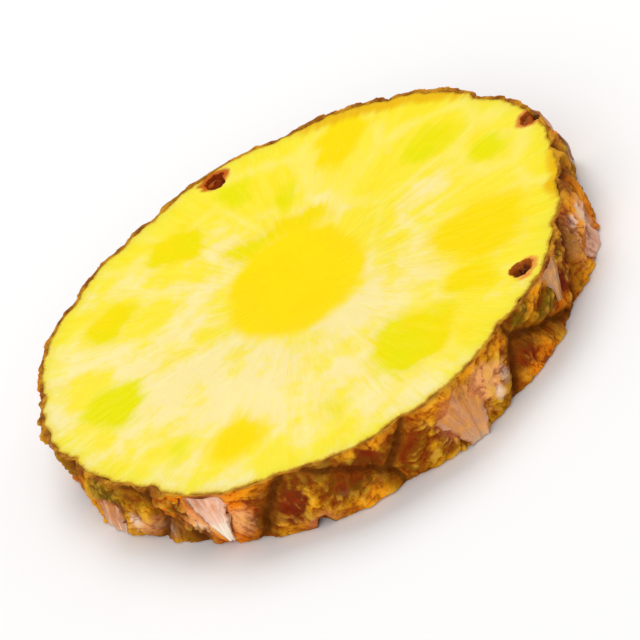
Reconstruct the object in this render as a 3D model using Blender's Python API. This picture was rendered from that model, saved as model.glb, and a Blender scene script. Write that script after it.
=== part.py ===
"""A round slice of pineapple, cut across the fruit, with its core in and its rind on.

The slice lies flat on its lower cut face. The origin is at the middle of that face, +Z is up,
and angles run anticlockwise from +X as seen from above. The leafy end of the fruit was below,
so the pointed scales of the rind hang downwards. Lengths are in metres.
"""

import math

import bmesh
import bpy

# The slice as a whole.
MEAN_RADIUS = 0.0566
THICKNESS = 0.0132

# Lobes of the outline: crests round the edge, height as a share of the radius, angle of one crest.
OUTLINE_LOBES = ((2, 0.012, math.radians(-52.0)), (3, 0.018, math.radians(24.0)))

# The eyes of the rind wind round the fruit, each a golden angle on from the last and a little lower.
GOLDEN_ANGLE = math.radians(137.508)
FIRST_EYE_ANGLE = math.radians(-44.4)
EYE_DROP = 0.00185
COUNT_AT_TOP = 1.7
EYE_COUNTS = range(-15, 27)
EYE_SPACING = 0.026

# Relief of the rind: a swelling over each eye and a furrow between neighbours.
EYE_SWELL = 0.0014
EYE_REACH = 0.0150
FURROW_DEPTH = 0.0016
FURROW_HALF_WIDTH = 0.0026
CRAG_HEIGHT = 0.00022

# The furrows run shallower where the knife passed: share of the depth there, and how far that reaches.
FURROW_AT_CUT = 0.5
CUT_REACH = 0.0030

# The wall's facets.
FACETS_AROUND = 240
WALL_ROWS = 11

# The scale that covers each eye.
SCALE_LENGTH = 0.0150
SCALE_WIDTH = 0.0150
SCALE_TAPER = 1.2
SCALE_TIP_WIDTH = 0.0012
SCALE_ROOT_THICKNESS = 0.0030
SCALE_TIP_THICKNESS = 0.0008
SCALE_ROOT_ABOVE_EYE = 0.0045
SCALE_ROOT_SINK = 0.0008
SCALE_TIP_LIFT = 0.0024
SCALE_ARCH = 0.0013
SCALE_RIPPLE = 0.00018
SCALE_COLUMNS = 4
SCALE_ROWS = 7
SCALE_SHORTEST = 0.0045
CUT_CLEARANCE = 0.0004

# The hollow inside an eye, seen where a cut passes through it. One of the eyes has closed up.
CLOSED_EYE = 2
HOLLOW_ACROSS = 0.0046
HOLLOW_INWARDS = 0.0052
HOLLOW_TALL = 0.0066
HOLLOW_INSET = 0.0026
HOLLOW_LEAN = 0.75
HOLLOW_REACH = 0.0033

# Neighbouring points nearer than this are one point.
WELD_DISTANCE = 0.00001


def remove_scene_objects():
    """Start from an empty scene."""
    for scene_object in list(bpy.data.objects):
        bpy.data.objects.remove(scene_object, do_unlink=True)


def smooth_step(low, high, value):
    """Ease from 0 at low to 1 at high."""
    share = min(max((value - low) / (high - low), 0.0), 1.0)
    return share * share * (3.0 - 2.0 * share)


def eye_place(count):
    """Angle and height of one eye."""
    angle = FIRST_EYE_ANGLE + count * GOLDEN_ANGLE
    height = THICKNESS - (count - COUNT_AT_TOP) * EYE_DROP
    return angle, height


def nearest_two_eyes(angle, height):
    """Distances over the wall to the two nearest eyes."""
    distances = []
    for count in EYE_COUNTS:
        eye_angle, eye_height = eye_place(count)
        around = math.remainder(angle - eye_angle, math.tau) * MEAN_RADIUS
        distances.append(math.hypot(around, height - eye_height))
    distances.sort()
    return distances[0], distances[1]


def outline_radius(angle):
    """Radius of the lobed outline, before the relief of the rind."""
    lobes = sum(size * math.cos(crests * (angle - crest)) for crests, size, crest in OUTLINE_LOBES)
    return MEAN_RADIUS * (1.0 + lobes)


def crags(angle, height):
    """Small unevenness of the rind."""
    slow = math.sin(23.0 * angle + 410.0 * height)
    quick = math.sin(37.0 * angle - 730.0 * height + 1.3)
    return CRAG_HEIGHT * (slow + quick)


def swell(distance):
    """Height of the rind's swelling at a distance from the middle of an eye."""
    return EYE_SWELL * max(1.0 - (distance / EYE_REACH) ** 2, 0.0)


def wall_radius(angle, height):
    """Radius of the rind's outer face."""
    nearest, second = nearest_two_eyes(angle, height)
    to_border = (second**2 - nearest**2) / (2.0 * EYE_SPACING)
    from_cut = min(height, THICKNESS - height)
    share = FURROW_AT_CUT + (1.0 - FURROW_AT_CUT) * smooth_step(0.0, CUT_REACH, from_cut)
    furrow = FURROW_DEPTH * share * (1.0 - smooth_step(0.0, FURROW_HALF_WIDTH, to_border))
    return outline_radius(angle) + swell(nearest) - furrow + crags(angle, height)


def on_circle(angle, radius, height):
    """Point at an angle and a distance from the upright axis."""
    return radius * math.cos(angle), radius * math.sin(angle), height


def finish_object(name, mesh_tool):
    """Turn a bmesh into an object in the scene."""
    mesh = bpy.data.meshes.new(name)
    mesh_tool.to_mesh(mesh)
    mesh_tool.free()
    finished = bpy.data.objects.new(name, mesh)
    bpy.context.scene.collection.objects.link(finished)
    return finished


def make_round():
    """The slice without its scales: a disc whose wall carries the relief of the rind."""
    disc = bmesh.new()
    bmesh.ops.create_cone(
        disc, cap_ends=True, cap_tris=False, segments=FACETS_AROUND,
        radius1=MEAN_RADIUS, radius2=MEAN_RADIUS, depth=THICKNESS,
    )
    bmesh.ops.translate(disc, verts=disc.verts, vec=(0.0, 0.0, THICKNESS / 2.0))
    upright = [edge for edge in disc.edges if abs(edge.verts[0].co.z - edge.verts[1].co.z) > THICKNESS / 2.0]
    bmesh.ops.subdivide_edges(disc, edges=upright, cuts=WALL_ROWS - 1, use_grid_fill=True)
    for vertex in disc.verts:
        angle = math.atan2(vertex.co.y, vertex.co.x)
        vertex.co = on_circle(angle, wall_radius(angle, vertex.co.z), vertex.co.z)
    caps = [face for face in disc.faces if len(face.verts) > 4]
    middles = bmesh.ops.poke(disc, faces=caps)["verts"]
    for vertex in middles:
        vertex.co.x = 0.0
        vertex.co.y = 0.0
    walls = [face for face in disc.faces if len(face.verts) == 4]
    bmesh.ops.triangulate(disc, faces=walls)
    return finish_object("pineapple_slice", disc)


def scale_surface(eye_angle, across, along):
    """Angle, drop below the root and radius of a scale's outer face.

    across runs from -1 to 1, and along from 0 at the root to 1 at the tip.
    """
    half_width = (SCALE_WIDTH * (1.0 - along) ** SCALE_TAPER + SCALE_TIP_WIDTH * along) / 2.0
    sideways = across * half_width
    drop = along * SCALE_LENGTH
    angle = eye_angle + sideways / MEAN_RADIUS
    lift = SCALE_TIP_LIFT * along**1.4 - SCALE_ROOT_SINK * (1.0 - along) ** 3
    arch = SCALE_ARCH * across**2 * (1.0 - 0.6 * along)
    ripple = SCALE_RIPPLE * math.sin(9.0 * across + 5.0 * along)
    from_eye = math.hypot(sideways, SCALE_ROOT_ABOVE_EYE - drop)
    return angle, drop, outline_radius(angle) + swell(from_eye) + lift - arch + ripple


def make_scale(count):
    """The pointed scale over one eye, as far as it lies between the two cuts."""
    eye_angle, eye_height = eye_place(count)
    root_height = eye_height + SCALE_ROOT_ABOVE_EYE
    start = max((root_height - THICKNESS + CUT_CLEARANCE) / SCALE_LENGTH, 0.0)
    end = min((root_height - CUT_CLEARANCE) / SCALE_LENGTH, 1.0)
    if (end - start) * SCALE_LENGTH < SCALE_SHORTEST:
        return None
    scale = bmesh.new()
    bmesh.ops.create_grid(scale, x_segments=SCALE_COLUMNS, y_segments=SCALE_ROWS, size=1.0)
    bmesh.ops.triangulate(scale, faces=scale.faces)
    outer = set(scale.verts)
    bmesh.ops.extrude_face_region(scale, geom=scale.faces[:], use_keep_orig=True)
    for vertex in scale.verts:
        along = start + (end - start) * (1.0 - vertex.co.y) / 2.0
        angle, drop, radius = scale_surface(eye_angle, vertex.co.x, along)
        if vertex not in outer:
            radius -= SCALE_ROOT_THICKNESS * (1.0 - along) + SCALE_TIP_THICKNESS * along
        vertex.co = on_circle(angle, radius, root_height - drop)
    scale.normal_update()
    bmesh.ops.recalc_face_normals(scale, faces=scale.faces)
    return finish_object(f"scale_{count}", scale)


def make_hollow(count, cut_height):
    """Cutter for the hollow of an eye that a cut face passes through."""
    eye_angle, eye_height = eye_place(count)
    offset = eye_height - cut_height
    if abs(offset) > HOLLOW_REACH or count == CLOSED_EYE:
        return None
    hollow = bmesh.new()
    bmesh.ops.create_icosphere(hollow, subdivisions=2, radius=0.5)
    bmesh.ops.scale(hollow, verts=hollow.verts, vec=(HOLLOW_INWARDS, HOLLOW_ACROSS, HOLLOW_TALL))
    inset = HOLLOW_INSET + HOLLOW_LEAN * offset
    for vertex in hollow.verts:
        radius = outline_radius(eye_angle) - inset + vertex.co.x
        angle = eye_angle + vertex.co.y / MEAN_RADIUS
        vertex.co = on_circle(angle, radius, cut_height + vertex.co.z)
    hollow.normal_update()
    bmesh.ops.recalc_face_normals(hollow, faces=hollow.faces)
    return finish_object(f"hollow_{count}", hollow)


def combine(base, pieces, operation):
    """Join the pieces to the base, or cut them out of it, in one Boolean, and remove them."""
    group = bpy.data.collections.new(operation.lower())
    bpy.context.scene.collection.children.link(group)
    for piece in pieces:
        group.objects.link(piece)
    boolean = base.modifiers.new(operation.lower(), "BOOLEAN")
    boolean.operation = operation
    boolean.operand_type = "COLLECTION"
    boolean.collection = group
    boolean.solver = "EXACT"
    view_layer = bpy.context.view_layer
    view_layer.update()
    evaluated = base.evaluated_get(bpy.context.evaluated_depsgraph_get())
    joined = bpy.data.meshes.new_from_object(evaluated)
    base.modifiers.remove(boolean)
    base.data = joined
    for piece in pieces:
        bpy.data.objects.remove(piece, do_unlink=True)
    bpy.data.collections.remove(group)


def shell_of(start_face):
    """All faces that hang together with one face."""
    found = {start_face}
    waiting = [start_face]
    while waiting:
        for edge in waiting.pop().edges:
            for neighbour in edge.link_faces:
                if neighbour not in found:
                    found.add(neighbour)
                    waiting.append(neighbour)
    return found


def keep_one_shell(base):
    """Weld near points, and drop loose scraps and the walls of sealed pockets."""
    body = bmesh.new()
    body.from_mesh(base.data)
    bmesh.ops.remove_doubles(body, verts=body.verts, dist=WELD_DISTANCE)
    bmesh.ops.triangulate(body, faces=body.faces)
    left = set(body.faces)
    shells = []
    while left:
        shell = shell_of(next(iter(left)))
        shells.append(shell)
        left -= shell
    shells.sort(key=len)
    for scrap in shells[:-1]:
        bmesh.ops.delete(body, geom=list(scrap), context="FACES")
    body.to_mesh(base.data)
    body.free()


def fruit_material():
    """Moist yellow flesh."""
    material = bpy.data.materials.new("flesh")
    material.use_nodes = True
    shader = material.node_tree.nodes["Principled BSDF"]
    shader.inputs["Base Color"].default_value = (0.95, 0.72, 0.12, 1.0)
    shader.inputs["Roughness"].default_value = 0.35
    shader.inputs["Metallic"].default_value = 0.0
    return material


def build():
    """The whole slice, as one solid."""
    remove_scene_objects()
    body = make_round()
    scales = [make_scale(count) for count in EYE_COUNTS]
    combine(body, [scale for scale in scales if scale], "UNION")
    hollows = [make_hollow(count, cut) for count in EYE_COUNTS for cut in (THICKNESS, 0.0)]
    combine(body, [hollow for hollow in hollows if hollow], "DIFFERENCE")
    keep_one_shell(body)
    body.data.materials.clear()
    body.data.materials.append(fruit_material())
    body.data.shade_smooth()
    body.data.set_sharp_from_angle(angle=math.radians(35.0))


build()
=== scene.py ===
import math
import random

import bmesh
import bpy
import numpy as np
from mathutils import Matrix, Vector, noise


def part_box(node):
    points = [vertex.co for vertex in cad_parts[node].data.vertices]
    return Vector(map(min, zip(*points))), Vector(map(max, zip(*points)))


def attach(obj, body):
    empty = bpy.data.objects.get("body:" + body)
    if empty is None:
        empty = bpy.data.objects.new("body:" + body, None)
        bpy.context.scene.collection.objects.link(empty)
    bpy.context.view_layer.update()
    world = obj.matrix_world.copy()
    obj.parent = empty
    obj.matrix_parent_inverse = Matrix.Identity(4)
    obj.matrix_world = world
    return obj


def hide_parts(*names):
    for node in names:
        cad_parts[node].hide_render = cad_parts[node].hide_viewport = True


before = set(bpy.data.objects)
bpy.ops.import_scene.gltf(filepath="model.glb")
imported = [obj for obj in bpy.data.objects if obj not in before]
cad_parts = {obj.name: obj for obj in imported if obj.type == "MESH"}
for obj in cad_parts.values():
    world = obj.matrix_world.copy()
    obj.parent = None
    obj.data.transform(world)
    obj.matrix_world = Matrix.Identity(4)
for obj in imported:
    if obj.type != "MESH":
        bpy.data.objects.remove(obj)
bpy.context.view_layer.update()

NODE = "pineapple_slice"
TAU = math.tau

# The slice, as the frame has it. Lengths are in metres and angles in radians.
lowest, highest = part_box(NODE)
THICKNESS = highest[2] - lowest[2]
MEAN_RADIUS = 0.0566
OUTLINE_LOBES = ((2, 0.012, math.radians(-52.0)), (3, 0.018, math.radians(24.0)))

# The eyes wind round the fruit, each a golden angle on from the last and a little lower.
GOLDEN_ANGLE = math.radians(137.508)
FIRST_EYE_ANGLE = math.radians(-44.4)
EYE_DROP = 0.00185
COUNT_AT_TOP = 1.7
EYE_COUNTS = range(-15, 27)
EYE_SPACING = 0.026
EYE_SWELL = 0.0014
EYE_REACH = 0.0150
FURROW_DEPTH = 0.0016
FURROW_HALF_WIDTH = 0.0026

# Scales of the rind, one over each eye, with their tips down.
SCALE_LENGTH = 0.0150
SCALE_WIDTH = 0.0150
SCALE_TIP_WIDTH = 0.0012
SCALE_ROOT_ABOVE_EYE = 0.0045
SCALE_ROOT_SINK = 0.0008
SCALE_TIP_LIFT = 0.0024
SCALE_ARCH = 0.0013
SCALE_TAPER = 1.2
SCALE_SHORTEST = 0.0045
SCALE_BELOW_CUT = 0.00045
SCALE_ABOVE_FOOT = 0.0002
SCALE_SETTLING = 0.0011
SCALE_BEND = 0.0018
SCALE_FLARE = 0.0007
SCALE_KEEL = 0.0004
SCALE_WAVE = 0.0004
SCALE_VEIN_DEPTH = 0.00036
SCALE_THICKNESS = 0.00032
SCALE_STEPS_ACROSS = 34
SCALE_STEPS_ALONG = 56

# Hollows of the eyes that a cut passes through. One of the eyes has closed up.
CLOSED_EYE = 2
HOLLOW_ACROSS = 0.0046
HOLLOW_INWARDS = 0.0052
HOLLOW_DEPTH = 0.0030
HOLLOW_INSET = 0.0026
HOLLOW_LEAN = 0.75
HOLLOW_REACH = 0.0033
LINING_REACH = 0.0035

# The furrows' lines wander, and run shallower where the knife passed.
FURROW_DRIFT = 0.0012
FURROW_AT_CUT = 0.5
CUT_REACH = 0.0030
CREASE_WIDTH = 0.0011

# Relief of the rind's plates, which lie smoother under their scales.
ROSETTE_HEIGHT = 0.00045
CUP_DEPTH = 0.0008
FOLD_HEIGHT = 0.0012
LUMP_HEIGHT = 0.00042
PIMPLE_HEIGHT = 0.00018
CRAG_HEIGHT = 0.00045
NICK_DEPTH = 0.00012
UNDER_SCALE_SINK = 0.00035
UNDER_SCALE_SMOOTHING = 0.8
RIND_STEPS_ROUND = 1400

# The flesh inside the rind.
RIND_THICKNESS = 0.0012
RIND_UNEVENNESS = 0.0008
FURROW_DENT = 0.00035
CORE_HALF_WIDTH = 0.0149
CORE_HALF_HEIGHT = 0.0170
CORE_MIDDLE = (0.0, 0.0034)
CORE_DRIFT = 0.0007
POCKET_DRIFT = 0.0020
RIM_WIDTH = 0.0036
FACE_SINK = 0.00026
FIBRE_HEIGHT = 0.00009
WAVE_HEIGHT = 0.0001
POCKET_DEPTH = 0.00022
CORE_RING_DEPTH = 0.0001
FLESH_STEPS_ROUND = 700

# Deeper yellow pockets in the flesh: angle in degrees, distance from the middle as a share of the radius,
# half length along the ray and half width across it in millimetres, strength, and how green.
POCKETS = (
    (8, 0.80, 4.2, 4.2, 0.65, 0.60),
    (30, 0.75, 6.8, 5.4, 0.85, 0.70),
    (60, 0.80, 10.0, 5.2, 0.90, 0.15),
    (78, 0.58, 5.4, 3.0, 0.65, 0.60),
    (92, 0.78, 6.0, 4.4, 0.65, 0.90),
    (113, 0.74, 6.6, 5.6, 0.95, 0.40),
    (141, 0.79, 5.8, 6.4, 0.90, 0.45),
    (180, 0.75, 6.0, 7.0, 0.95, 0.80),
    (216, 0.77, 4.6, 3.6, 0.55, 0.85),
    (233, 0.74, 6.0, 5.8, 0.95, 0.20),
    (262, 0.76, 5.6, 3.0, 0.45, 0.50),
    (72, 0.39, 4.5, 8.0, 0.65, 0.25),
    (99, 0.40, 6.0, 5.5, 0.55, 0.35),
    (290, 0.68, 8.6, 8.2, 1.00, 0.45),
    (314, 0.72, 6.4, 5.6, 0.80, 0.35),
    (335, 0.67, 9.2, 9.2, 1.00, 0.20),
)

# Stretches of the rim where the flesh is amber: middle and half spread in degrees, width in millimetres.
WARM_RIMS = ((52, 26, 4.6), (346, 12, 3.4))

# Patches of colour that show on the rind in front: middle in degrees, height as a share of the thickness,
# half spread in degrees, half height as a share, and strength.
RIND_PATCHES = {
    "olive_patch": (
        (201, 0.70, 5.0, 0.45, 0.80), (222, 0.75, 4.0, 0.30, 0.60), (253, 0.92, 6.0, 0.22, 0.80),
        (272, 0.60, 4.0, 0.40, 0.60), (303, 0.92, 4.0, 0.25, 0.80), (311, 0.62, 4.5, 0.28, 0.85),
        (322, 0.90, 4.0, 0.25, 0.60),
    ),
    # Umber patches across the front: partly the rind's own brown mottling, partly a painted cast shadow.
    "umber_patch": (
        (241, 0.45, 3.0, 0.35, 0.80), (257, 0.50, 6.0, 0.30, 0.85), (271, 0.50, 5.0, 0.32, 0.80),
        (281, 0.22, 5.0, 0.20, 0.75), (320, 0.55, 5.0, 0.25, 0.80),
    ),
    # Wine patches across the front: partly the rind's own maroon mottling, partly a painted cast shadow.
    "wine_patch": (
        (246, 0.55, 4.5, 0.38, 1.00), (224, 0.30, 4.0, 0.20, 0.70), (239, 0.35, 3.0, 0.30, 0.70),
        (263, 0.62, 5.0, 0.35, 0.80), (279, 0.45, 4.0, 0.30, 0.70), (300, 0.45, 4.5, 0.30, 0.90),
        (318, 0.50, 3.5, 0.30, 0.60),
    ),
    "blush_patch": (
        (212, 0.25, 8.0, 0.22, 0.75), (228, 0.52, 6.0, 0.30, 0.90), (236, 0.45, 4.0, 0.30, 0.90),
        (290, 0.60, 5.0, 0.28, 0.90), (328, 0.70, 5.0, 0.35, 0.90), (337, 0.45, 5.0, 0.35, 1.00),
    ),
    "amber_patch": (
        (230, 0.93, 7.0, 0.15, 0.80), (277, 0.90, 6.0, 0.18, 0.70), (290, 0.95, 6.0, 0.12, 0.60),
        (312, 0.97, 4.0, 0.14, 0.90), (261, 0.12, 8.0, 0.20, 0.60), (241, 0.88, 3.5, 0.18, 0.75),
        (281, 0.75, 4.0, 0.30, 0.80), (297, 0.88, 4.0, 0.18, 0.80), (305, 0.48, 3.0, 0.24, 0.75),
        (321, 0.20, 6.0, 0.20, 0.80),
    ),
    "chalk_patch": (
        (332, 0.72, 1.6, 0.12, 0.80), (336, 0.56, 2.2, 0.20, 1.00), (339, 0.38, 2.4, 0.16, 0.95),
        (291, 0.32, 1.4, 0.12, 0.85), (294, 0.45, 1.3, 0.12, 0.80), (226, 0.42, 1.6, 0.14, 0.75),
        (214, 0.22, 3.0, 0.12, 0.70), (207, 0.35, 1.8, 0.14, 0.70), (257, 0.42, 1.2, 0.10, 0.55),
    ),
}

# Seeds of the random draws. The eye's count is added to the first two.
PLATE_SEED = 50
SCALE_SEED = 200
PATCH_SEED = 91
FLAKE_SEED = 77

# How bleached the scale over an eye is.
SCALE_BLEACH = {0: 0.15, 2: 1.0, 5: 0.3, 7: 0.7, 8: 0.9}
USUAL_BLEACH = 0.5

# How dry and pale the lining of a hollow is, by eye.
LINING_DRYNESS = {0: 0.9, 1: 0.0, 3: 0.55}
USUAL_DRYNESS = 0.4

# Chips of dried flower.
FLAKES_IN_HOLLOW = 9
FLAKES_ON_EYE = 16
FLAKE_THICKNESS = 0.00016
HOLLOW_FLAKE_WIDTH = 0.0011

# Floor, and square lights: place, size in metres and power in watts.
FLOOR_HALF_SIZE = 6.0
FLOOR_DROP = 0.0001
FLOOR_COLOUR = (0.93, 0.925, 0.92, 1.0)
SOFTBOXES = {
    "key_softbox": ((0.15, 0.62, 0.95), 0.8, 6.8),
    "front_fill": ((-0.35, -0.95, 0.40), 0.9, 5.0),
}
SURROUND_STRENGTH = 0.58

# The camera looks down at the cut face as the photograph does, and is rolled so that the face leans.
CAMERA_ELEVATION = math.radians(31.9)
CAMERA_ROLL = math.radians(32.5)
CAMERA_DISTANCE = 0.95
FRAME_WIDTH = 0.124
AIM = (0.0, 0.0, 0.0045)


def smooth_step(low, high, value):
    """Ease from 0 at low to 1 at high."""
    share = np.clip((value - low) / (high - low), 0.0, 1.0)
    return share * share * (3.0 - 2.0 * share)


def turn_back(angle):
    """The same angle between minus and plus half a turn."""
    return (angle + math.pi) % TAU - math.pi


def eye_place(count):
    """Angle and height of one eye."""
    return FIRST_EYE_ANGLE + count * GOLDEN_ANGLE, THICKNESS - (count - COUNT_AT_TOP) * EYE_DROP


def outline_radius(angle):
    """Radius of the lobed outline, before the relief of the rind."""
    lobes = sum(size * np.cos(crests * (angle - crest)) for crests, size, crest in OUTLINE_LOBES)
    return MEAN_RADIUS * (1.0 + lobes)


def eye_field(angle, height):
    """Nearest eye's distance, distance to the furrow, eye count, and the offset from that eye."""
    distances, arounds, aboves = [], [], []
    for count in EYE_COUNTS:
        eye_angle, eye_height = eye_place(count)
        around = turn_back(angle - eye_angle) * MEAN_RADIUS
        above = height - eye_height
        arounds.append(around)
        aboves.append(above)
        distances.append(np.hypot(around, above))
    distances = np.array(distances)
    order = np.argsort(distances, axis=0)
    first = order[0]
    here = np.arange(first.size)
    nearest = distances[first, here]
    second = distances[order[1], here]
    to_furrow = (second**2 - nearest**2) / (2.0 * EYE_SPACING)
    around = np.array(arounds)[first, here]
    above = np.array(aboves)[first, here]
    return nearest, to_furrow, first + EYE_COUNTS[0], around, above


def swell(distance):
    """Height of the rind's swelling at a distance from the middle of an eye."""
    return EYE_SWELL * np.maximum(1.0 - (distance / EYE_REACH) ** 2, 0.0)


def rough(points, size, octaves=3, seed=0.0):
    """Smooth noise from -1 to 1 at each row of points, with features of the given size."""
    shift = Vector((seed, 2.0 * seed, 3.0 * seed))
    values = [noise.fractal(Vector(point) / size + shift, 1.0, 2.0, octaves) for point in points]
    return np.array(values)


def warts(points, size, seed=0.0):
    """Rounded bumps of the given size, 1 at their tops and about 0 between."""
    shift = Vector((seed, 2.0 * seed, 3.0 * seed))
    values = [noise.noise(Vector(point) / size + shift, noise_basis="VORONOI_F1") for point in points]
    distances = (np.array(values) + 1.0) / 2.0
    return 1.0 - np.clip(distances * 1.5, 0.0, 1.0) ** 2


def wandering_field(angle, height):
    """The eyes' field with the furrows' lines made to wander rather than drawn by rule."""
    on_wall = np.stack([MEAN_RADIUS * np.cos(angle), MEAN_RADIUS * np.sin(angle), height], axis=1)
    aside = FURROW_DRIFT * rough(on_wall, 0.0075, 3, 11.0)
    rise = FURROW_DRIFT * rough(on_wall, 0.0075, 3, 21.0)
    return eye_field(angle + aside / MEAN_RADIUS, height + rise)


def furrow_depth(to_furrow, height):
    """How deep the wall lies in a furrow: a rounded shoulder with a crease at its foot."""
    shoulder = 1.0 - smooth_step(0.0, FURROW_HALF_WIDTH, to_furrow)
    crease = np.exp(-((to_furrow / CREASE_WIDTH) ** 1.4))
    from_cut = np.minimum(height, THICKNESS - height)
    share = FURROW_AT_CUT + (1.0 - FURROW_AT_CUT) * smooth_step(0.0, CUT_REACH, from_cut)
    return FURROW_DEPTH * (0.45 * shoulder + 0.55 * crease) * share


def cut_hollows(cut_height):
    """Angle and inset of each hollow in a cut face."""
    hollows = []
    for count in EYE_COUNTS:
        eye_angle, eye_height = eye_place(count)
        offset = eye_height - cut_height
        if abs(offset) <= HOLLOW_REACH and count != CLOSED_EYE:
            hollows.append((eye_angle, HOLLOW_INSET + HOLLOW_LEAN * offset))
    return hollows


def hollow_distance(angle, radius, cut_height):
    """Distance from the nearest hollow's middle: 1 at its brim."""
    nearest = np.full(np.shape(angle), 9.0)
    for eye_angle, inset in cut_hollows(cut_height):
        inwards = radius - (outline_radius(eye_angle) - inset)
        across = turn_back(angle - eye_angle) * radius
        inwards_share = inwards / (HOLLOW_INWARDS / 2.0)
        taper = 1.0 - 0.25 * np.clip(inwards_share, -1.0, 1.0)
        nearest = np.minimum(nearest, np.hypot(inwards_share, across / (HOLLOW_ACROSS / 2.0) * taper))
    return nearest


def hollow_depth(angle, radius, cut_height):
    """How far a cut face sinks inside its hollows."""
    return HOLLOW_DEPTH * (1.0 - smooth_step(0.45, 1.0, hollow_distance(angle, radius, cut_height)))


def turned(profile, around):
    """Turn a profile of (radius, height) pairs, from its upper end, about the upright axis."""
    form = bmesh.new()
    bmesh.ops.create_cone(form, cap_ends=False, segments=around, radius1=1.0, radius2=1.0, depth=1.0)
    upright = [edge for edge in form.edges if abs(edge.verts[0].co.z - edge.verts[1].co.z) > 0.5]
    bmesh.ops.subdivide_edges(form, edges=upright, cuts=len(profile) - 2, use_grid_fill=True)
    for vertex in form.verts:
        radius, height = profile[round((0.5 - vertex.co.z) * (len(profile) - 1))]
        vertex.co = (vertex.co.x * radius, vertex.co.y * radius, height)
    bmesh.ops.remove_doubles(form, verts=form.verts, dist=1e-7)
    form.normal_update()
    bmesh.ops.recalc_face_normals(form, faces=form.faces)
    return form


def made_object(name, form, material):
    """Turn a bmesh into a piece of the slice."""
    mesh = bpy.data.meshes.new(name)
    form.to_mesh(mesh)
    form.free()
    piece = bpy.data.objects.new(name, mesh)
    bpy.context.scene.collection.objects.link(piece)
    mesh.materials.append(material)
    mesh.shade_smooth()
    return piece


def thicken(piece, thickness, offset):
    """Give a thin piece its thickness."""
    wall = piece.modifiers.new("thickness", "SOLIDIFY")
    wall.thickness = thickness
    wall.offset = offset


def read_points(mesh):
    """The mesh's points as rows of x, y, z."""
    flat = np.empty(len(mesh.vertices) * 3)
    mesh.vertices.foreach_get("co", flat)
    return flat.reshape(-1, 3)


def write_points(mesh, points):
    """Put the mesh's points where the rows say."""
    mesh.vertices.foreach_set("co", points.astype(np.float32).ravel())
    mesh.update()


def write_masks(mesh, masks):
    """Store numbers for each point, under the names that a material reads."""
    for name, values in masks.items():
        layer = mesh.attributes.new(name, "FLOAT", "POINT")
        layer.data.foreach_set("value", values.astype(np.float32))


def linear(red, green, blue):
    """A screen colour, 0 to 255, as the linear colour that shaders take."""
    parts = []
    for part in (red, green, blue):
        share = part / 255.0
        parts.append(share / 12.92 if share <= 0.04045 else ((share + 0.055) / 1.055) ** 2.4)
    return (*parts, 1.0)


class Number:
    """A shader value that ordinary arithmetic adds nodes to."""

    def __init__(self, paint, socket):
        self.paint = paint
        self.socket = socket

    def apply(self, operation, first, second):
        made = self.paint.node("ShaderNodeMath", {"operation": operation}, {0: first, 1: second})
        return Number(self.paint, made.outputs[0])

    def __add__(self, other):
        return self.apply("ADD", self, other)

    def __sub__(self, other):
        return self.apply("SUBTRACT", self, other)

    def __rsub__(self, other):
        return self.apply("SUBTRACT", other, self)

    def __mul__(self, other):
        return self.apply("MULTIPLY", self, other)

    __radd__ = __add__
    __rmul__ = __mul__

    def ease(self, low, high):
        """0 below low, 1 above high, smooth between."""
        ends = {"From Min": low, "From Max": high}
        settings = {"interpolation_type": "SMOOTHSTEP"}
        made = self.paint.node("ShaderNodeMapRange", settings, {"Value": self, **ends})
        return Number(self.paint, made.outputs["Result"])


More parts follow.
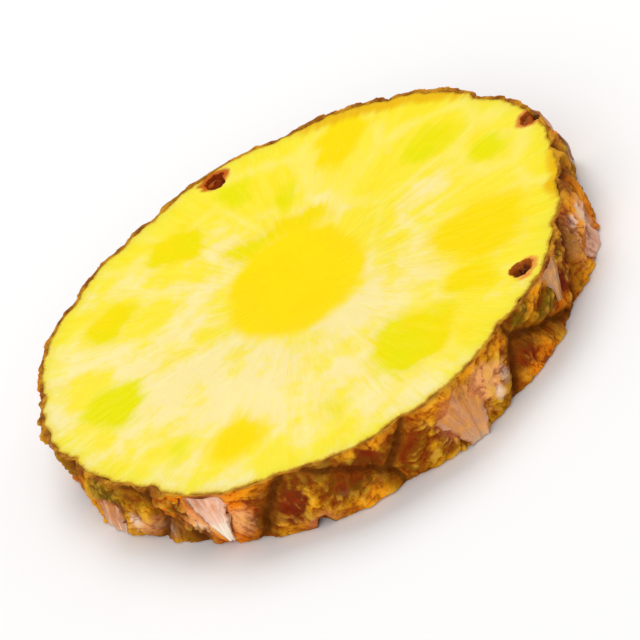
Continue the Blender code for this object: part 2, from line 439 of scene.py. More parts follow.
class Paint:
    """One material and the nodes that colour it."""

    def __init__(self, name, **constants):
        self.material = bpy.data.materials.new(name)
        self.material.use_nodes = True
        self.tree = self.material.node_tree
        self.shader = self.tree.nodes["Principled BSDF"]
        for socket_name, value in constants.items():
            self.shader.inputs[socket_name.replace("_", " ")].default_value = value

    def node(self, kind, settings, inputs):
        """A node with its settings made first and then its sockets fed."""
        made = self.tree.nodes.new(kind)
        for key, value in settings.items():
            setattr(made, key, value)
        for key, value in inputs.items():
            self.feed(made.inputs[key], value)
        return made

    def feed(self, socket, value):
        """Link a value to a socket, or set it there if it is plain."""
        if isinstance(value, Number):
            value = value.socket
        if isinstance(value, bpy.types.NodeSocket):
            self.tree.links.new(value, socket)
        else:
            socket.default_value = value

    def place(self):
        """Object coordinates."""
        return self.node("ShaderNodeTexCoord", {}, {}).outputs["Object"]

    def mask(self, name):
        """A number stored on the mesh."""
        found = self.node("ShaderNodeAttribute", {"attribute_name": name}, {})
        return Number(self, found.outputs["Fac"])

    def noise(self, where, scale, detail, roughness):
        """Noise about 0.5."""
        inputs = {"Vector": where, "Scale": scale, "Detail": detail, "Roughness": roughness}
        return Number(self, self.node("ShaderNodeTexNoise", {}, inputs).outputs["Fac"])

    def seams(self, where, scale):
        """Distance to the nearest seam between irregular cells."""
        settings = {"feature": "DISTANCE_TO_EDGE"}
        made = self.node("ShaderNodeTexVoronoi", settings, {"Vector": where, "Scale": scale})
        return Number(self, made.outputs["Distance"])

    def mix(self, factor, first, second):
        """Colour between two colours."""
        inputs = {0: factor, 6: first, 7: second}
        return self.node("ShaderNodeMix", {"data_type": "RGBA"}, inputs).outputs[2]

    def vector(self, operation, *vectors):
        """The vector that Vector Math makes of one vector or two."""
        made = self.node("ShaderNodeVectorMath", {"operation": operation}, dict(enumerate(vectors)))
        return made.outputs["Vector"]

    def rays(self, turns, lengths):
        """Coordinates that change quickly round the upright axis and slowly along each ray."""
        flat = self.vector("MULTIPLY", self.place(), (1.0, 1.0, 0.0))
        away = self.node("ShaderNodeVectorMath", {"operation": "LENGTH"}, {0: flat}).outputs["Value"]
        turning = self.vector("MULTIPLY", self.vector("NORMALIZE", flat), (turns, turns, 0.0))
        outwards = self.node("ShaderNodeCombineXYZ", {}, {"Z": Number(self, away) * lengths})
        return self.vector("ADD", turning, outwards.outputs["Vector"])

    def finish(self, colour, roughness, height, depth):
        """Feed the shader: colour, roughness, and a bump of the given depth in metres."""
        self.feed(self.shader.inputs["Base Color"], colour)
        self.feed(self.shader.inputs["Roughness"], roughness)
        inputs = {"Height": height, "Distance": depth, "Strength": 1.0}
        bump = self.node("ShaderNodeBump", {}, inputs)
        self.feed(self.shader.inputs["Normal"], bump.outputs["Normal"])
        return self.material


def flesh_material():
    """Moist yellow flesh: mottled pale and yellow, with golden pockets and a golden core."""
    paint = Paint(
        "moist_flesh", Subsurface_Weight=0.35, Subsurface_Radius=(1.0, 0.62, 0.12), Subsurface_Scale=0.003,
        Specular_IOR_Level=0.01, Coat_Weight=0.05, Coat_Roughness=0.14,
    )
    pocket = paint.mask("pocket")
    green = paint.mask("green")
    core = paint.mask("core")
    ripe = paint.mask("ripe")
    rim = paint.mask("rim")
    warm = paint.mask("warm")
    stain = paint.mask("stain")
    hollow = paint.mask("hollow")
    dried = paint.mask("dried")
    away = paint.mask("away")
    streaks = paint.noise(paint.rays(9.0, 16.0), 3.2, 4.0, 0.6)
    fibres = paint.noise(paint.rays(26.0, 60.0), 3.0, 4.0, 0.65)
    clouds = paint.noise(paint.place(), 70.0, 4.0, 0.6)
    grain = paint.noise(paint.place(), 900.0, 2.0, 0.6)
    seams = paint.seams(paint.rays(2.6, 44.0), 1.0)

    cream = linear(250, 229, 156)
    butter = linear(249, 227, 60)
    lemon = linear(249, 222, 10)
    gold = linear(250, 217, 0)
    green_gold = linear(232, 224, 0)
    core_gold = linear(249, 215, 0)
    amber = linear(240, 182, 4)
    pale = linear(253, 240, 176)

    paleness = (streaks * 0.30 + clouds * 1.60 + fibres * 0.22 - ripe * 0.62 - 0.35).ease(0.33, 0.65)
    colour = paint.mix(paleness, butter, cream)
    lemon_streaks = (streaks * 1.1 + fibres * 0.5 - clouds * 0.35 + ripe * 0.25).ease(0.70, 0.95) * 0.60
    colour = paint.mix(lemon_streaks, colour, lemon)
    seam = (1.0 - seams + (streaks - 0.5) * 0.35 + (clouds - 0.5) * 0.3).ease(0.86, 1.04) * 0.25
    colour = paint.mix(seam, colour, pale)
    pocket_colour = paint.mix((green + (clouds - 0.5) * 0.9).ease(0.15, 0.75), gold, green_gold)
    wander = (streaks - 0.5) * 0.5 + (clouds - 0.5) * 1.1 + (fibres - 0.5) * 0.45
    pocket_share = (pocket * 1.25 + wander).ease(0.14, 0.80)
    colour = paint.mix(pocket_share, colour, pocket_colour)
    core_share = (core + (clouds - 0.5) * 0.7 + (fibres - 0.5) * 0.5).ease(0.12, 0.84)
    core_colour = paint.mix(clouds.ease(0.4, 0.6), core_gold, linear(251, 219, 0))
    colour = paint.mix(core_share, colour, core_colour)
    flecks = (fibres * 0.6 + grain * 0.4).ease(0.56, 0.72) * (0.22 - core * 0.2) * (1.0 - pocket * 0.8)
    colour = paint.mix(flecks, colour, pale)
    rim_share = (rim + (streaks - 0.5) * 0.9).ease(0.3, 0.95) * 0.6
    colour = paint.mix(rim_share, colour, linear(247, 212, 60))
    warm_share = (warm + (streaks - 0.5) * 0.7 + (clouds - 0.5) * 0.6).ease(0.3, 0.9)
    colour = paint.mix(warm_share, colour, amber)
    edge_share = (rim + (fibres - 0.5) * 0.3).ease(0.84, 1.02) * 0.8
    colour = paint.mix(edge_share, colour, linear(196, 142, 30))
    stain_colour = paint.mix(dried, linear(196, 96, 16), linear(238, 152, 66))
    colour = paint.mix((stain + (clouds - 0.5) * 0.8).ease(0.2, 0.8), colour, stain_colour)
    moist_lining = paint.mix(grain, linear(86, 18, 3), linear(164, 62, 12))
    dry_lining = paint.mix(grain, linear(112, 42, 8), linear(214, 118, 34))
    lining = paint.mix(dried, moist_lining, dry_lining)
    colour = paint.mix((hollow + (grain - 0.5) * 0.35).ease(0.35, 0.6), colour, lining)
    roughness = 0.30 + fibres * 0.16 + hollow * 0.3
    ribbed = away * (1.0 - core * 0.7)
    height = (streaks * 0.3 + fibres * 0.5) * ribbed + grain * 0.2 + seams.ease(0.0, 0.1) * ribbed * 0.2
    return paint.finish(colour, roughness, height, depth=0.00032)


def rind_material():
    """Rough rind: golden tan and olive plates with painted highlights on their raised relief, painted
    red-brown shade in their wrinkles and low places, and dark furrows between.
    """
    paint = Paint("rough_rind", Specular_IOR_Level=0.05)
    furrow = paint.mask("furrow")
    border = paint.mask("border")
    crease = paint.mask("crease")
    relief = paint.mask("relief")
    tint = paint.mask("tint")
    eye = paint.mask("eye")
    cut = paint.mask("cut")
    hollow = paint.mask("hollow")
    patches = paint.noise(paint.place(), 80.0, 3.0, 0.6)
    blots = paint.noise(paint.place(), 260.0, 5.0, 0.7)
    freckles = paint.noise(paint.place(), 700.0, 4.0, 0.7)
    grain = paint.noise(paint.place(), 1700.0, 3.0, 0.7)

    tan = linear(250, 172, 28)
    orange = linear(246, 132, 8)
    olive = linear(168, 118, 2)
    russet = linear(192, 70, 6)
    pink = linear(244, 152, 92)
    straw = linear(255, 200, 64)
    maroon_shade = linear(124, 30, 3)
    brown = linear(140, 70, 4)
    deep = linear(80, 36, 3)
    # The umber and wine patch colours are partly the rind's own dark mottling and partly painted cast
    # shadow on the front.
    patch_colours = {
        "amber_patch": linear(246, 158, 20),
        "blush_patch": linear(248, 176, 110),
        "chalk_patch": linear(255, 218, 188),
        "olive_patch": linear(100, 82, 4),
        "umber_patch": linear(134, 70, 4),
        "wine_patch": linear(98, 16, 12),
    }

    colour = paint.mix((patches + (blots - 0.5) * 0.5 + tint * 0.5 - 0.25).ease(0.3, 0.68), tan, orange)
    olive_share = (blots - patches * 0.6 + (1.0 - tint) * 0.35).ease(0.26, 0.62) * 0.75
    colour = paint.mix(olive_share, colour, olive)
    for name, patch_colour in patch_colours.items():
        patch = (paint.mask(name) + (blots - 0.5) * 1.1 + (freckles - 0.5) * 0.7).ease(0.14, 0.62) * 0.92
        colour = paint.mix(patch, colour, patch_colour)
    colour = paint.mix((freckles * 0.6 + blots * 0.4).ease(0.45, 0.75) * 0.55, colour, russet)
    colour = paint.mix((eye + (blots - 0.5) * 1.2).ease(0.3, 0.95) * 0.7, colour, pink)
    # Painted highlight: straw colour on the raised places of the relief.
    colour = paint.mix((relief + (freckles - 0.5) * 0.7).ease(0.55, 1.1) * 0.5, colour, straw)
    # Painted shade: maroon in the creases of the wrinkles and in the low places of the relief.
    colour = paint.mix((crease + (freckles - 0.5) * 0.7).ease(0.3, 1.0) * 0.5, colour, maroon_shade)
    colour = paint.mix((1.0 - relief + (grain - 0.5) * 0.5).ease(0.5, 1.05) * 0.75, colour, maroon_shade)
    dusk_share = (patches + (freckles - 0.5) * 0.5).ease(0.4, 0.6)
    dusk = paint.mix(dusk_share, linear(112, 76, 3), linear(140, 40, 4))
    colour = paint.mix((border + (blots - 0.5) * 1.3).ease(0.25, 1.1) * 0.65, colour, dusk)
    colour = paint.mix((furrow + (blots - 0.5) * 0.9).ease(0.1, 0.8) * 0.6, colour, brown)
    colour = paint.mix((furrow + (freckles - 0.5) * 0.6).ease(0.62, 1.0) * 0.7, colour, deep)
    cut_colour = paint.mix(blots.ease(0.35, 0.65), linear(214, 150, 34), linear(132, 70, 12))
    colour = paint.mix(cut, colour, cut_colour)
    colour = paint.mix((hollow + (grain - 0.5) * 0.3).ease(0.35, 0.6), colour, linear(92, 30, 8))
    roughness = 0.5 + grain * 0.3
    height = blots * 0.3 + grain * 0.3 + freckles * 0.4
    return paint.finish(colour, roughness, height, depth=0.0011)


def scale_material():
    """Dry papery scales: brown at the root, pinkish tan, and cream white at the tip."""
    paint = Paint("dry_scale", Specular_IOR_Level=0.3, Sheen_Weight=0.05)
    along = paint.mask("along")
    edge = paint.mask("edge")
    tint = paint.mask("tint")
    vein = paint.mask("vein")
    bleached = paint.mask("bleached")
    blots = paint.noise(paint.place(), 420.0, 4.0, 0.6)
    grain = paint.noise(paint.place(), 2600.0, 2.0, 0.6)

    root = paint.mix(blots.ease(0.35, 0.65), linear(124, 56, 18), linear(186, 106, 40))
    tan_share = (blots + tint * 0.5 - 0.25).ease(0.35, 0.65)
    blush = paint.mix(tan_share, linear(236, 180, 150), linear(214, 138, 84))
    colour = paint.mix((along + (blots - 0.5) * 0.6).ease(0.02, 0.36), root, blush)
    vein_share = (vein + (blots - 0.5) * 0.5).ease(0.45, 0.85) * 0.5
    colour = paint.mix(vein_share, colour, linear(156, 80, 48))
    between = (0.9 - vein + (blots - 0.5) * 0.5).ease(0.6, 0.95) * 0.5
    colour = paint.mix(between, colour, linear(252, 212, 188))
    pale = (along + (vein - 0.5) * 0.35 + (tint - 0.5) * 0.3 + (blots - 0.5) * 0.3).ease(0.38, 0.74)
    colour = paint.mix(pale, colour, linear(254, 236, 212))
    ochre = paint.mix(blots.ease(0.3, 0.7), linear(150, 82, 14), linear(222, 148, 46))
    ochre_share = (1.0 - bleached + (blots - 0.5) * 0.9).ease(0.1, 0.95) * 0.85
    colour = paint.mix(ochre_share, colour, ochre)
    edge_share = (edge + (blots - 0.5) * 0.8).ease(0.8, 1.0) * 0.6
    colour = paint.mix(edge_share, colour, linear(156, 84, 34))
    roughness = 0.55 + grain * 0.25
    return paint.finish(colour, roughness, vein * 0.7 + grain * 0.3, depth=0.0003)


def flake_material():
    """Dried flower remains: dark red brown to straw, by the piece."""
    paint = Paint("dried_flower", Specular_IOR_Level=0.3)
    tint = paint.mask("tint")
    blots = paint.noise(paint.place(), 900.0, 3.0, 0.6)
    dark = paint.mix(blots, linear(66, 22, 6), linear(138, 62, 18))
    colour = paint.mix((tint + (blots - 0.5) * 0.3).ease(0.45, 0.95), dark, linear(226, 178, 128))
    return paint.finish(colour, 0.5 + blots * 0.3, blots, depth=0.0003)


def polar(points):
    """Angle and distance from the upright axis of each point."""
    return np.arctan2(points[:, 1], points[:, 0]), np.hypot(points[:, 0], points[:, 1])


def flesh_profile():
    """Half section of the flesh: across the upper face, down the side and back across the lower."""
    rings = [*np.linspace(0.0, 0.78, 42), *np.linspace(0.79, 0.985, 24)]
    brim = [(0.995, 0.00008), (1.0, 0.0003), (0.985, 0.0009), (0.93, 0.0018), (0.90, 0.0040)]
    upper = [(share * MEAN_RADIUS, THICKNESS) for share in rings]
    upper += [(share * MEAN_RADIUS, THICKNESS - drop) for share, drop in brim]
    lower = [(radius, THICKNESS - height) for radius, height in reversed(upper)]
    return upper + lower


def pocket_masks(angle, radius):
    """How strongly each place lies in a pocket, and how green the pocket is there."""
    strength = np.zeros_like(angle)
    green = np.zeros_like(angle)
    for middle, share, half_length, half_width, depth, greenness in POCKETS:
        along = (radius - share * MEAN_RADIUS) / (half_length / 1000.0)
        across = turn_back(angle - math.radians(middle)) * radius / (half_width / 1000.0)
        narrowing = 1.0 - 0.22 * np.clip(along, -1.5, 1.0)
        here = depth * np.exp(-((along**2 + (across * narrowing) ** 2) ** 1.15) * 0.8)
        green = np.where(here > strength, greenness, green)
        strength = np.maximum(strength, here)
    return strength, green


def warm_rim(angle, inwards):
    """Where the rim of the flesh is amber."""
    warmth = np.zeros_like(angle)
    for middle, spread, width in WARM_RIMS:
        aside = np.abs(turn_back(angle - math.radians(middle))) / math.radians(spread)
        deep = inwards / (width / 1000.0)
        here = (1.0 - smooth_step(0.4, 1.3, aside)) * (1.0 - smooth_step(0.0, 1.5, deep))
        warmth = np.maximum(warmth, here)
    return warmth


def lining_dryness(angle, upper):
    """How dry the lining is of the hollow that lies at each angle."""
    dryness = np.full_like(angle, USUAL_DRYNESS)
    for count, amount in LINING_DRYNESS.items():
        near = np.abs(turn_back(angle - eye_place(count)[0])) < 0.2
        dryness = np.where(near & upper, amount, dryness)
    return dryness


def flesh_radius(angle, height):
    """Where the flesh meets the rind on a cut face: the furrows show in it only in part."""
    nearest, to_furrow, _, _, _ = wandering_field(angle, np.full_like(angle, height))
    dent = FURROW_DENT * (1.0 - smooth_step(0.0, FURROW_HALF_WIDTH, to_furrow))
    around = (MEAN_RADIUS * np.cos(angle), MEAN_RADIUS * np.sin(angle))
    on_rim = np.stack([*around, np.full_like(angle, height)], axis=1)
    wander = RIND_UNEVENNESS * np.clip(rough(on_rim, 0.0032, 3, 51.0), -0.6, 0.6)
    return outline_radius(angle) + swell(nearest) - dent - RIND_THICKNESS + wander


def make_flesh():
    """The cut flesh, with its upper and lower faces, between the rind."""
    piece = made_object("cut_flesh", turned(flesh_profile(), FLESH_STEPS_ROUND), flesh_material())
    mesh = piece.data
    points = read_points(mesh)
    angle, radius = polar(points)
    height = points[:, 2]
    share = radius / MEAN_RADIUS
    top_radius = flesh_radius(angle, THICKNESS)
    foot_radius = flesh_radius(angle, 0.0)
    up = height / THICKNESS
    brim = foot_radius + (top_radius - foot_radius) * up
    radius = share * brim
    upper = up > 0.5

    cut_height = np.where(upper, THICKNESS, 0.0)
    on_face = np.stack([radius * np.cos(angle), radius * np.sin(angle), cut_height], axis=1)
    drawn = on_face.copy()
    drawn[:, 0] += POCKET_DRIFT * rough(on_face, 0.0060, 3, 31.0)
    drawn[:, 1] += POCKET_DRIFT * rough(on_face, 0.0060, 3, 41.0)
    pocket, green = pocket_masks(*polar(drawn))
    core_drawn = on_face + (drawn - on_face) * CORE_DRIFT / POCKET_DRIFT
    core_x = (core_drawn[:, 0] - CORE_MIDDLE[0]) / CORE_HALF_WIDTH
    core_y = (core_drawn[:, 1] - CORE_MIDDLE[1]) / CORE_HALF_HEIGHT
    core = 1.0 - smooth_step(0.78, 1.22, np.hypot(core_x, core_y))
    ripe = 0.37 + 0.34 * (points[:, 0] * 0.82 + points[:, 1] * 0.57) / MEAN_RADIUS
    ripe += 0.30 * smooth_step(0.55, 0.95, share)
    rim = smooth_step(RIM_WIDTH, 0.0, brim - radius)
    upper_far = hollow_distance(angle, radius, THICKNESS)
    lower_far = hollow_distance(angle, radius, 0.0)
    far = np.where(upper, upper_far, lower_far) + 0.22 * rough(points, 0.0016, 2, 3.0)
    sink = HOLLOW_DEPTH * (1.0 - smooth_step(0.5, 1.0, far))
    stain = (1.0 - smooth_step(0.85, 1.9, far)) * (0.25 + 0.75 * smooth_step(0.0065, 0.0030, brim - radius))

    ray = np.stack([np.cos(angle) * 3.2, np.sin(angle) * 3.2, radius * 30.0 + cut_height * 90.0], axis=1)
    fibre = rough(ray, 0.16, 3, 4.0)
    wave = rough(points, 0.011, 2, 9.0)
    relief = FIBRE_HEIGHT * fibre * smooth_step(0.004, 0.02, radius) + WAVE_HEIGHT * wave
    relief -= POCKET_DEPTH * pocket + CORE_RING_DEPTH * core * (1.0 - core) * 4.0
    drop = np.clip(FACE_SINK - relief, 0.0, None) * smooth_step(1.005, 0.97, share) + sink
    in_face = (height > THICKNESS - 0.0004) | (height < 0.0004)
    drop = np.where(in_face, drop, 0.0)
    points[:, 0] = radius * np.cos(angle)
    points[:, 1] = radius * np.sin(angle)
    points[:, 2] = np.where(upper, height - drop, height + drop)
    write_points(mesh, points)
    masks = {
        "pocket": pocket,
        "green": green,
        "core": core,
        "away": smooth_step(0.0005, 0.006, radius),
        "ripe": ripe,
        "rim": rim,
        "hollow": 1.0 - smooth_step(0.85, 1.15, far),
        "stain": stain,
        "warm": warm_rim(angle, brim - radius),
        "dried": lining_dryness(angle, upper),
    }
    write_masks(mesh, masks)
    return piece


def rind_profile():
    """Section of the rind as a closed band: upper cut edge, wall, lower cut edge, hidden inner side."""
    edge = [(0.0044, 0.0034), (0.0026, 0.0014), (0.0016, 0.0005), (0.0012, 0.00022), (0.0009, 0.0001)]
    edge += [(0.0006, 0.00006), (0.0003, 0.00008), (0.0001, 0.0002)]
    wall = [(0.0, height) for height in np.linspace(THICKNESS - 0.00045, 0.00045, 52)]
    upper = [(inset, THICKNESS - drop) for inset, drop in edge]
    lower = [(inset, drop) for inset, drop in reversed(edge)]
    section = upper + wall + lower + upper[:1]
    return [(MEAN_RADIUS - inset, height) for inset, height in section]


def rind_patches():
    """Every patch of colour by its look: those that show in front, and others strewn behind."""
    patches = {look: list(shown) for look, shown in RIND_PATCHES.items()}
    draw = random.Random(PATCH_SEED)
    for angle in range(-5, 192, 7):
        look = draw.choice(sorted(patches))
        size = (draw.uniform(3.0, 7.0), draw.uniform(0.18, 0.42))
        patches[look].append((angle, draw.uniform(0.15, 0.90), *size, draw.uniform(0.6, 0.95)))
    return patches


def patch_strength(patches, angle, height):
    """How strongly each place lies in one of some patches."""
    strength = np.zeros_like(angle)
    for middle, share, spread, tall, depth in patches:
        aside = turn_back(angle - math.radians(middle)) / math.radians(spread)
        above = (height / THICKNESS - share) / tall
        strength = np.maximum(strength, depth * np.exp(-(aside**2) - above**2))
    return strength


def under_scale(around, above):
    """1 where an eye's scale covers the wall."""
    along = (SCALE_ROOT_ABOVE_EYE - above) / SCALE_LENGTH
    half_width = SCALE_WIDTH / 2.0 * np.clip(1.0 - along, 0.0, 1.0) ** SCALE_TAPER
    half_width += SCALE_TIP_WIDTH / 2.0
    beside = smooth_step(0.75, 1.1, np.abs(around) / half_width)
    return (1.0 - beside) * smooth_step(-0.05, 0.05, along)


def make_rind():
    """The rind: plates round the eyes with furrows between, cut off flush above and below."""
    piece = made_object("rind_band", turned(rind_profile(), RIND_STEPS_ROUND), rind_material())
    mesh = piece.data
    points = read_points(mesh)
    angle, radius = polar(points)
    height = points[:, 2]
    inset = MEAN_RADIUS - radius
    nearest, to_furrow, count, around, above = wandering_field(angle, height)
    on_wall = smooth_step(0.0007, 0.0, inset)
    base = outline_radius(angle) + swell(nearest) - furrow_depth(to_furrow, height)
    bearing = np.arctan2(above, around)
    petals = np.cos(3.0 * bearing + 0.6)
    rosette = ROSETTE_HEIGHT * petals * np.exp(-((nearest - 0.0052) / 0.0022) ** 2)
    cup = -CUP_DEPTH * np.exp(-((nearest / 0.0028) ** 2))
    outwards = nearest / 0.011 + 7.0 * count
    spokes = np.stack([np.cos(bearing) * 2.0, np.sin(bearing) * 2.0, outwards], axis=1)
    wrinkle = np.abs(rough(spokes, 0.45, 3, 1.0))
    spread = smooth_step(0.0020, 0.0055, nearest)
    folds = FOLD_HEIGHT * (np.minimum(wrinkle, 0.45) - 0.25) * spread
    lumps = LUMP_HEIGHT * (warts(points, 0.0024, 5.0) - 0.4)
    lumps += PIMPLE_HEIGHT * (warts(points, 0.0010, 8.0) - 0.4)
    crags = CRAG_HEIGHT * rough(points, 0.0040, 4, 2.0) + folds + lumps
    crags -= under_scale(around, above) * (UNDER_SCALE_SMOOTHING * crags + UNDER_SCALE_SINK)
    radius = base - inset + (rosette + cup + crags) * on_wall
    top_sink = hollow_depth(angle, radius, THICKNESS) * smooth_step(0.35 * THICKNESS, THICKNESS, height)
    foot_sink = hollow_depth(angle, radius, 0.0) * smooth_step(0.65 * THICKNESS, 0.0, height)
    from_middle = np.abs(2.0 * height / THICKNESS - 1.0)
    nick = NICK_DEPTH * rough(points, 0.003, 2, 7.0) * smooth_step(0.5, 1.0, from_middle)
    points[:, 0] = radius * np.cos(angle)
    points[:, 1] = radius * np.sin(angle)
    shift = np.where(height > THICKNESS / 2.0, -top_sink - np.abs(nick), foot_sink + np.abs(nick))
    points[:, 2] = height + shift
    write_points(mesh, points)
    tints = {step: random.Random(step + PLATE_SEED).random() for step in EYE_COUNTS}
    upper_far = hollow_distance(angle, radius, THICKNESS) + (THICKNESS - height) / LINING_REACH
    lower_far = hollow_distance(angle, radius, 0.0) + height / LINING_REACH
    masks = {
        "furrow": 1.0 - smooth_step(0.0, FURROW_HALF_WIDTH, to_furrow),
        "border": 1.0 - smooth_step(0.0010, 0.0070, to_furrow),
        # The crease and relief masks place the rind's painted shade in low places and its painted
        # highlights on raised ones.
        "crease": (1.0 - smooth_step(0.0, 0.14, wrinkle)) * spread,
        "relief": smooth_step(-0.00075, 0.00065, crags),
        "tint": np.array([tints[step] for step in count]),
        "eye": np.exp(-((nearest / 0.0064) ** 2)),
        "cut": smooth_step(0.0001, 0.0004, inset),
        "hollow": 1.0 - smooth_step(0.75, 1.05, np.minimum(upper_far, lower_far)),
    }
    for look, patches in rind_patches().items():
        masks[look] = patch_strength(patches, angle, height)
    write_masks(mesh, masks)
    return piece


def scale_point(eye_angle, across, along, bend, curl):
    """Angle, drop below the root, radius and vein of a point of a scale."""
    side = 1.0 if across > 0.0 else -1.0
    fray = 1.0 + 0.16 * noise.noise(Vector((along * 15.0, side * 3.0, bend * 20.0)))
    fray += 0.10 * noise.noise(Vector((along * 42.0, side * 5.0, bend * 20.0)))
    half_width = (SCALE_WIDTH * (1.0 - along) ** SCALE_TAPER * fray + SCALE_TIP_WIDTH * along) / 2.0
    sideways = across * half_width + bend * SCALE_BEND * along**2
    drop = along * SCALE_LENGTH
    angle = eye_angle + sideways / MEAN_RADIUS
    lift = SCALE_TIP_LIFT * curl * along**1.6 - SCALE_ROOT_SINK * (1.0 - along) ** 3
    arch = SCALE_ARCH * abs(across) ** 1.7 * max(1.0 - 1.5 * along, 0.0)
    belly = along * (1.0 - along) * 4.0
    flare = SCALE_FLARE * abs(across) ** 3 * belly * (0.6 + 0.4 * side * bend)
    keel = SCALE_KEEL * math.exp(-((across / 0.16) ** 2)) * (1.0 - along * 0.5)
    vein = 0.5 + 0.5 * noise.noise(Vector((across * 6.5, along * 1.6, bend * 30.0)))
    wave = SCALE_WAVE * noise.noise(Vector((across * 1.6, along * 4.5, bend * 40.0)))
    from_eye = math.hypot(sideways, SCALE_ROOT_ABOVE_EYE - drop)
    relief = lift - arch + flare + keel + wave - SCALE_VEIN_DEPTH * abs(vein - 0.5)
    radius = float(outline_radius(angle)) + float(swell(from_eye)) + relief
    return angle, drop, radius, abs(2.0 * vein - 1.0) * 1.4


def make_scales():
    """The pointed scales over the eyes, cut off where the knife passed."""
    form = bmesh.new()
    masks = ("along", "edge", "tint", "vein", "bleached")
    layers = {name: form.verts.layers.float.new(name) for name in masks}
    for count in EYE_COUNTS:
        draw = random.Random(count + SCALE_SEED)
        bend, curl, tint = draw.uniform(-1.0, 1.0), draw.uniform(0.35, 0.75), draw.random()
        eye_angle, eye_height = eye_place(count)
        root_height = eye_height + SCALE_ROOT_ABOVE_EYE
        start = max((root_height - THICKNESS + SCALE_BELOW_CUT) / SCALE_LENGTH, 0.0)
        end = min((root_height - SCALE_ABOVE_FOOT) / SCALE_LENGTH, 1.0)
        if (end - start) * SCALE_LENGTH < SCALE_SHORTEST:
            continue
        curl *= 1.0 - 0.7 * start
        settled = SCALE_SETTLING * float(smooth_step(0.55, 0.70, start))
        bleached = SCALE_BLEACH.get(count, USUAL_BLEACH)
        made = bmesh.ops.create_grid(
            form, x_segments=SCALE_STEPS_ACROSS, y_segments=SCALE_STEPS_ALONG, size=1.0,
        )
        for vertex in made["verts"]:
            across = vertex.co.x
            along = start + (end - start) * (1.0 - vertex.co.y) / 2.0
            angle, drop, radius, vein = scale_point(eye_angle, across, along, bend, curl)
            radius -= settled
            vertex.co = (radius * math.cos(angle), radius * math.sin(angle), root_height - drop)
            for name, value in zip(masks, (along, abs(across), tint, vein, bleached)):
                vertex[layers[name]] = value
    form.normal_update()
    for face in form.faces:
        middle = face.calc_center_median()
        if face.normal.dot(Vector((middle.x, middle.y, 0.0))) < 0.0:
            face.normal_flip()
    piece = made_object("eye_scales", form, scale_material())
    thicken(piece, SCALE_THICKNESS, -1.0)
    return piece


def add_flake(form, tints, base, outwards, length, width, lean, tint, draw):
    """A small curled chip that stands on a place and leans along a direction."""
    made = bmesh.ops.create_grid(form, x_segments=3, y_segments=7, size=1.0)
    side = outwards.cross(lean).normalized()
    up = (lean + outwards * draw.uniform(0.05, 0.35)).normalized()
    curl = draw.uniform(-0.3, 0.7)
    sway = draw.uniform(-0.5, 0.5)
    for vertex in made["verts"]:
        along = (vertex.co.y + 1.0) / 2.0
        taper = (1.0 - along) ** 0.6 * 0.9 + 0.1
        across = vertex.co.x * width / 2.0 * taper + sway * length * along**2
        rise = along * length
        bow = curl * length * along**2 * 0.5 - abs(vertex.co.x) * width * 0.25
        vertex.co = base + side * across + up * rise + outwards * bow
        vertex[tints] = tint


def add_hollow_flakes(form, tints, draw):
    """Chips in the hollows of cut eyes."""
    for cut_height, facing in ((THICKNESS, 1.0), (0.0, -1.0)):
        for eye_angle, inset in cut_hollows(cut_height):
            for _ in range(FLAKES_IN_HOLLOW):
                angle = eye_angle + draw.uniform(-0.022, 0.022)
                radius = float(outline_radius(eye_angle)) - inset + draw.uniform(-0.0014, 0.0014)
                height = cut_height - facing * HOLLOW_DEPTH * draw.uniform(0.86, 0.96)
                base = Vector((radius * math.cos(angle), radius * math.sin(angle), height))
                lean = Vector((draw.uniform(-0.5, 0.5), draw.uniform(-0.5, 0.5), facing)).normalized()
                aside = Vector((math.cos(angle), math.sin(angle), 0.0)) * draw.choice((-1.0, 1.0))
                length = draw.uniform(0.0012, 0.0022)
                tint = draw.uniform(0.0, 0.5)
                add_flake(form, tints, base, aside, length, HOLLOW_FLAKE_WIDTH, lean, tint, draw)


def add_eye_flakes(form, tints, draw):
    """Chips in the middle of whole eyes, where no scale covers them."""
    for count in EYE_COUNTS:
        eye_angle, eye_height = eye_place(count)
        for _ in range(FLAKES_ON_EYE):
            sideways = draw.gauss(0.0, 0.0024)
            angle = eye_angle + sideways / MEAN_RADIUS
            height = eye_height + draw.gauss(-0.0005, 0.0022)
            length = draw.uniform(0.0008, 0.0020)
            along = (eye_height + SCALE_ROOT_ABOVE_EYE - height) / SCALE_LENGTH
            scale_half = SCALE_WIDTH / 2.0 * max(1.0 - along, 0.0) ** SCALE_TAPER
            covered = along > 0.0 and abs(sideways) < scale_half
            if covered or not length < height < THICKNESS - 0.0006:
                continue
            from_eye = math.hypot(sideways, height - eye_height)
            radius = float(outline_radius(angle)) + float(swell(from_eye)) - draw.uniform(0.0, 0.0004)
            outwards = Vector((math.cos(angle), math.sin(angle), 0.0))
            aside = Vector((-outwards.y, outwards.x, 0.0)) * draw.uniform(-1.0, 1.0)
            lean = (aside - Vector((0.0, 0.0, 1.0))).normalized()
            base = Vector((radius * outwards.x, radius * outwards.y, height))
            width = draw.uniform(0.0003, 0.0012)
            tint = draw.random() ** 2
            add_flake(form, tints, base, outwards, length, width, lean, tint, draw)


def make_flakes():
    """Dried flower remains in the hollows of cut eyes and in the middle of whole eyes."""
    form = bmesh.new()
    tints = form.verts.layers.float.new("tint")
    draw = random.Random(FLAKE_SEED)
    add_hollow_flakes(form, tints, draw)
    add_eye_flakes(form, tints, draw)
    piece = made_object("flower_remains", form, flake_material())
    thicken(piece, FLAKE_THICKNESS, 0.0)
    return piece


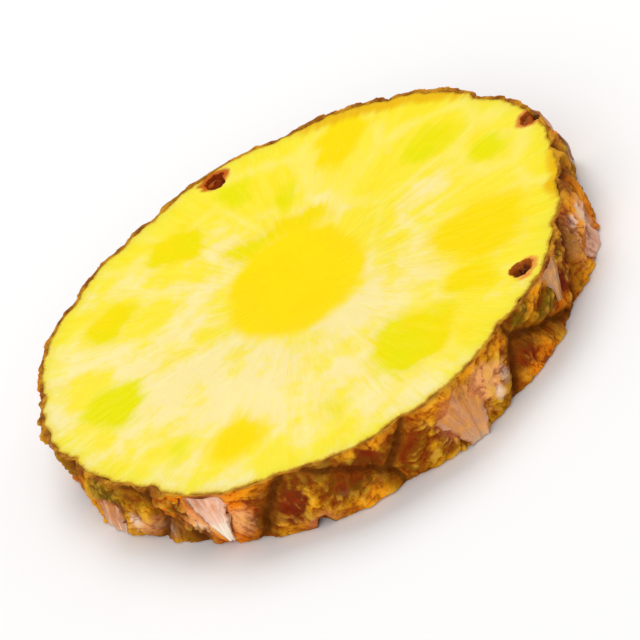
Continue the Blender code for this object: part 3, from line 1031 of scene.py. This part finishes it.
def make_floor():
    """Plain pale floor."""
    form = bmesh.new()
    bmesh.ops.create_grid(form, x_segments=1, y_segments=1, size=FLOOR_HALF_SIZE)
    bmesh.ops.translate(form, verts=form.verts, vec=(0.0, 0.0, -FLOOR_DROP))
    paint = Paint("pale_floor", Base_Color=FLOOR_COLOUR, Roughness=0.9, Specular_IOR_Level=0.1)
    floor = made_object("floor", form, paint.material)


def add_softbox(name, place, size, power):
    """A large square light aimed at the slice."""
    light = bpy.data.lights.new(name, "AREA")
    light.shape = "SQUARE"
    light.size = size
    light.energy = power
    lamp = bpy.data.objects.new(name, light)
    lamp.location = place
    lamp.rotation_euler = (-Vector(place)).to_track_quat("-Z", "Y").to_euler()
    bpy.context.scene.collection.objects.link(lamp)


def light_studio():
    """Soft studio light from above and behind, with a fill in front and a pale surround."""
    for name, (place, size, power) in SOFTBOXES.items():
        add_softbox(name, place, size, power)
    world = bpy.data.worlds.new("pale_surround")
    world.use_nodes = True
    background = world.node_tree.nodes["Background"]
    background.inputs["Color"].default_value = (1.0, 1.0, 1.0, 1.0)
    background.inputs["Strength"].default_value = SURROUND_STRENGTH
    bpy.context.scene.world = world
    bpy.context.scene.view_settings.view_transform = "Standard"


def place_camera():
    """The camera, far off with a long lens."""
    lens = bpy.data.cameras.new("camera")
    lens.sensor_width = 36.0
    lens.lens = lens.sensor_width * CAMERA_DISTANCE / FRAME_WIDTH
    lens.clip_start = 0.01
    camera = bpy.data.objects.new("camera", lens)
    bpy.context.scene.collection.objects.link(camera)
    back = Vector((0.0, -math.cos(CAMERA_ELEVATION), math.sin(CAMERA_ELEVATION)))
    camera.location = Vector(AIM) + back * CAMERA_DISTANCE
    upright = (-back).to_track_quat("-Z", "Y").to_matrix()
    camera.rotation_euler = (upright @ Matrix.Rotation(-CAMERA_ROLL, 3, "Z")).to_euler()
    bpy.context.scene.camera = camera


def dress_slice():
    """Every piece of the slice, riding on its body."""
    pieces = {
        make_flesh(): "flesh",
        make_rind(): "rind",
        make_scales(): "scale",
        make_flakes(): "eye_hollow",
    }
    for piece, finish in pieces.items():
        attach(piece, "root")
        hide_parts(NODE)


place_camera()
dress_slice()
make_floor()
light_studio()
